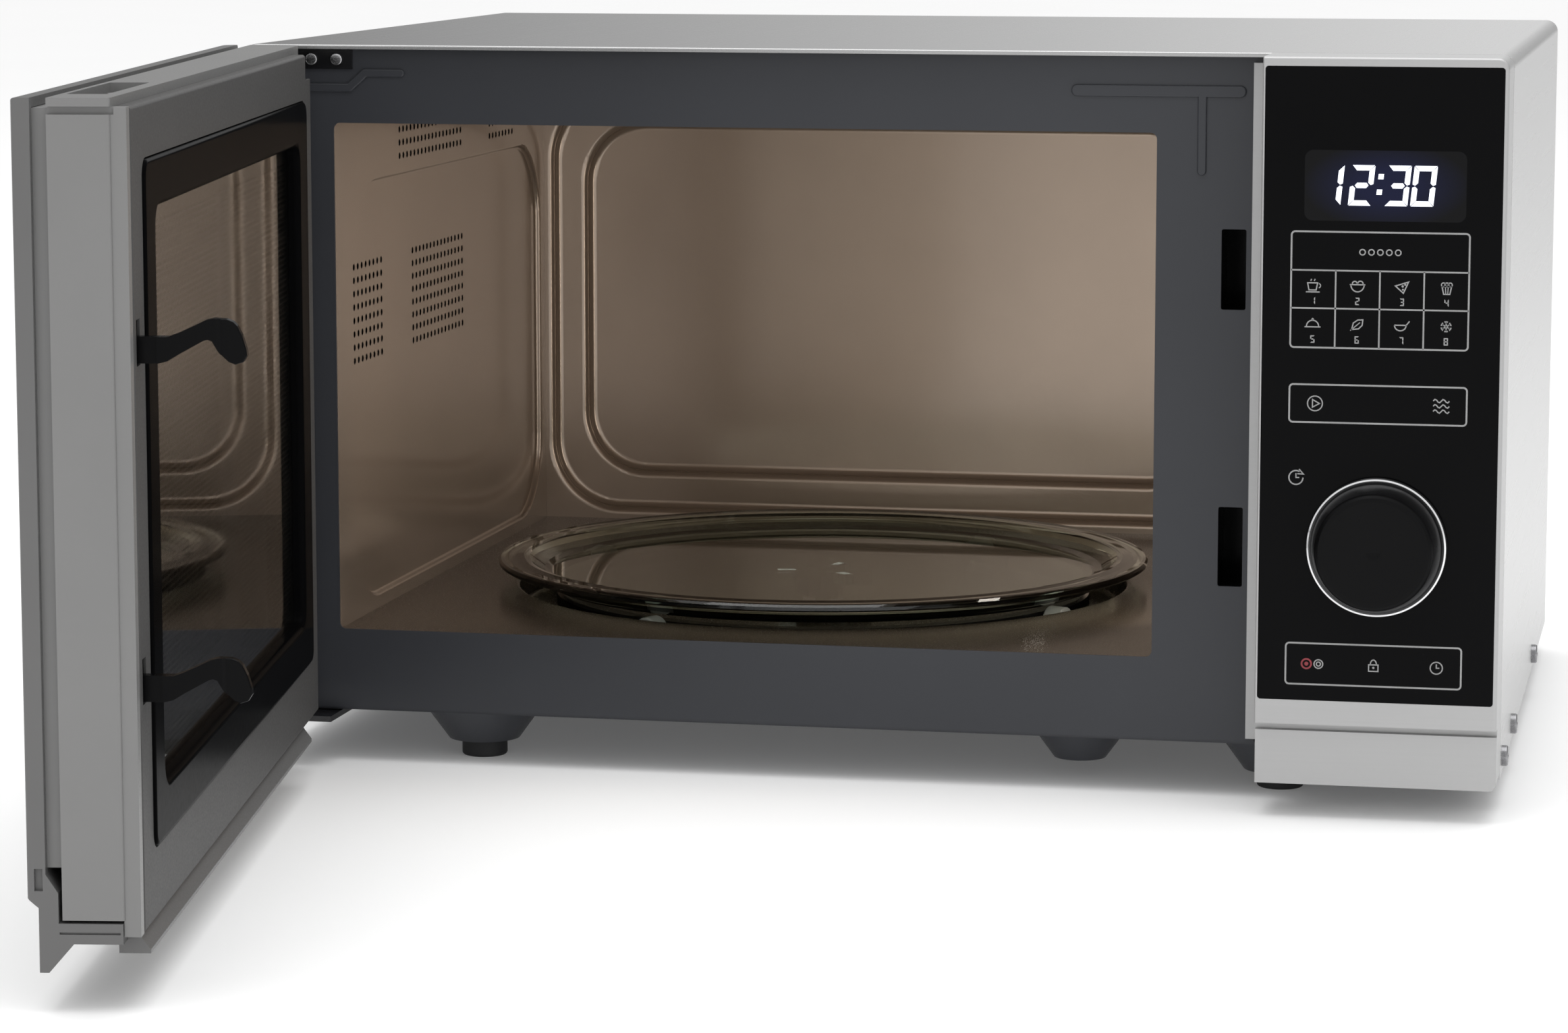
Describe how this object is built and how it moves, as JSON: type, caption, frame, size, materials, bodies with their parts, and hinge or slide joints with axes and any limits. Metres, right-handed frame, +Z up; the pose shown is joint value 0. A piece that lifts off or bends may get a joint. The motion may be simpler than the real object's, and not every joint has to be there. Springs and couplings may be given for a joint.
{
  "type": "microwave oven",
  "caption": "Countertop microwave oven with side-hinged door standing open, glass turntable on a roller ring, control panel with rotary knob, and full inner works.",
  "frame": {"origin": "middle of the whole object's box, with the door open as stored, on the worktop plane under the feet", "axes": "+X to the right seen from the front, +Y to the rear, +Z up"},
  "size_m": [0.4893, 0.7641, 0.28],
  "materials": {
    "case_silver": "satin brushed silver",
    "plate_charcoal": "satin",
    "zinc_steel": "satin zinc plated",
    "cavity_enamel": "gloss enamel",
    "floor_enamel": "gloss enamel",
    "roller_grey": "satin",
    "foot_rubber": "matt",
    "screw_steel": "satin",
    "black_plastic": "satin",
    "grey_plastic": "satin",
    "white_plastic": "satin",
    "red_plastic": "satin",
    "circuit_board": "satin",
    "mica": "matt",
    "aluminium": "satin",
    "core_steel": "laminated",
    "copper": "varnished",
    "motor_steel": "satin",
    "lamp_glass": "clear",
    "tray_glass": "clear",
    "trim_silver": "satin silver",
    "fascia_black": "gloss",
    "knob_black": "satin",
    "chrome_ring": "polished",
    "hinge_black": "satin",
    "door_glass": "gloss",
    "door_grey": "satin",
    "door_trim": "satin",
    "door_steel": "satin",
    "screen_metal": "perforated",
    "film_clear": "gloss",
    "cover_black": "gloss",
    "spring_steel": "bright"
  },
  "bodies": {
    "cabinet": {"outer_case": "case_silver", "base_plate": "plate_charcoal", "rear_panel": "zinc_steel", "cord_gland": "black_plastic", "case_screws": "screw_steel", "foot_front_left": "foot_rubber", "foot_front_right": "foot_rubber", "foot_rear_left": "foot_rubber", "foot_rear_right": "foot_rubber", "front_plate": "plate_charcoal", "cavity_left_wall": "cavity_enamel", "cavity_right_wall": "cavity_enamel", "cavity_roof": "cavity_enamel", "cavity_floor": "floor_enamel", "cavity_back_wall": "cavity_enamel", "waveguide": "zinc_steel", "waveguide_cover": "mica", "magnetron_yoke": "zinc_steel", "magnetron_anode": "aluminium", "transformer_core": "core_steel", "transformer_windings": "copper", "hv_capacitor": "aluminium", "capacitor_clamp": "zinc_steel", "fan_shroud": "grey_plastic", "fan_motor": "motor_steel", "line_filter_board": "circuit_board", "lamp_holder": "white_plastic", "oven_lamp": "lamp_glass", "thermal_cutout": "black_plastic", "turntable_motor": "motor_steel", "control_panel_frame": "trim_silver", "fascia_panel": "fascia_black", "control_board": "circuit_board", "interlock_bracket": "black_plastic", "interlock_switches": "black_plastic", "hinge_upper": "hinge_black", "hinge_lower": "hinge_black"},
    "door": {"door_frame": "door_trim", "door_outer_glass": "door_glass", "door_inner_frame": "door_grey", "hinge_bushes": "white_plastic", "door_screen_plate": "door_steel", "window_screen": "screen_metal", "inner_film": "film_clear", "choke_cover": "cover_black", "latch_spring": "spring_steel"},
    "latch": {"latch_bar": "black_plastic"},
    "knob": {"selector_knob": "knob_black", "knob_ring": "chrome_ring", "encoder_shaft": "motor_steel"},
    "coupler": {"turntable_coupler": "black_plastic"},
    "tray": {"glass_tray": "tray_glass"},
    "ring": {"roller_ring": "black_plastic"},
    "roller_a": {"roller_1": "roller_grey"},
    "roller_b": {"roller_2": "roller_grey"},
    "roller_c": {"roller_3": "roller_grey"},
    "roller_d": {"roller_4": "roller_grey"},
    "fan": {"fan_impeller": "black_plastic"},
    "plungers": {"switch_plungers": "red_plastic"}
  },
  "joints": [
    {"name": "door_hinge", "type": "hinge", "parent": "cabinet", "child": "door", "pos_m": [-0.231, -0.0025, 0.14], "axis": [0, 0, -1], "range_deg": [-80.6, 19.4]},
    {"name": "latch_slide", "type": "slide", "parent": "door", "child": "latch", "axis": [0, 0, 1], "range_m": [0, 0.004], "stiffness_N_per_m": 600, "springref_m": -0.004, "deforming": ["latch_spring"]},
    {"name": "knob_turn", "type": "hinge", "parent": "cabinet", "child": "knob", "pos_m": [0.1981, -0.0155, 0.1025], "axis": [0, -1, 0], "continuous": true},
    {"name": "coupler_turn", "type": "hinge", "parent": "cabinet", "child": "coupler", "pos_m": [-0.047, 0.1835, 0.047], "axis": [0, 0, 1], "continuous": true},
    {"name": "tray_lift", "type": "slide", "parent": "coupler", "child": "tray", "axis": [0, 0, 1], "range_m": [0, 0.04]},
    {"name": "ring_turn", "type": "hinge", "parent": "cabinet", "child": "ring", "pos_m": [-0.047, 0.1835, 0.04645], "axis": [0, 0, 1], "continuous": true},
    {"name": "roller_a_spin", "type": "hinge", "parent": "ring", "child": "roller_a", "pos_m": [-0.09531, 0.07749, 0.04645], "axis": [-0.4147, -0.91, 0], "continuous": true},
    {"name": "roller_b_spin", "type": "hinge", "parent": "ring", "child": "roller_b", "pos_m": [0.05901, 0.13519, 0.04645], "axis": [0.91, -0.4147, 0], "continuous": true},
    {"name": "roller_c_spin", "type": "hinge", "parent": "ring", "child": "roller_c", "pos_m": [0.00131, 0.28951, 0.04645], "axis": [0.4147, 0.91, 0], "continuous": true},
    {"name": "roller_d_spin", "type": "hinge", "parent": "ring", "child": "roller_d", "pos_m": [-0.15301, 0.23181, 0.04645], "axis": [-0.91, 0.4147, 0], "continuous": true},
    {"name": "fan_spin", "type": "hinge", "parent": "cabinet", "child": "fan", "pos_m": [0.179, 0.3315, 0.176], "axis": [0, -1, 0], "continuous": true},
    {"name": "plunger_press", "type": "slide", "parent": "cabinet", "child": "plungers", "axis": [1, 0, 0], "range_m": [0, 0.0015], "stiffness_N_per_m": 500, "springref_m": -0.001}
  ],
  "couplings": [
    {"joint": "ring_turn", "follows": "coupler_turn", "ratio": 0.5},
    {"joint": "roller_a_spin", "follows": "coupler_turn", "ratio": -10.402},
    {"joint": "roller_b_spin", "follows": "coupler_turn", "ratio": -10.402},
    {"joint": "roller_c_spin", "follows": "coupler_turn", "ratio": -10.402},
    {"joint": "roller_d_spin", "follows": "coupler_turn", "ratio": -10.402}
  ]
}
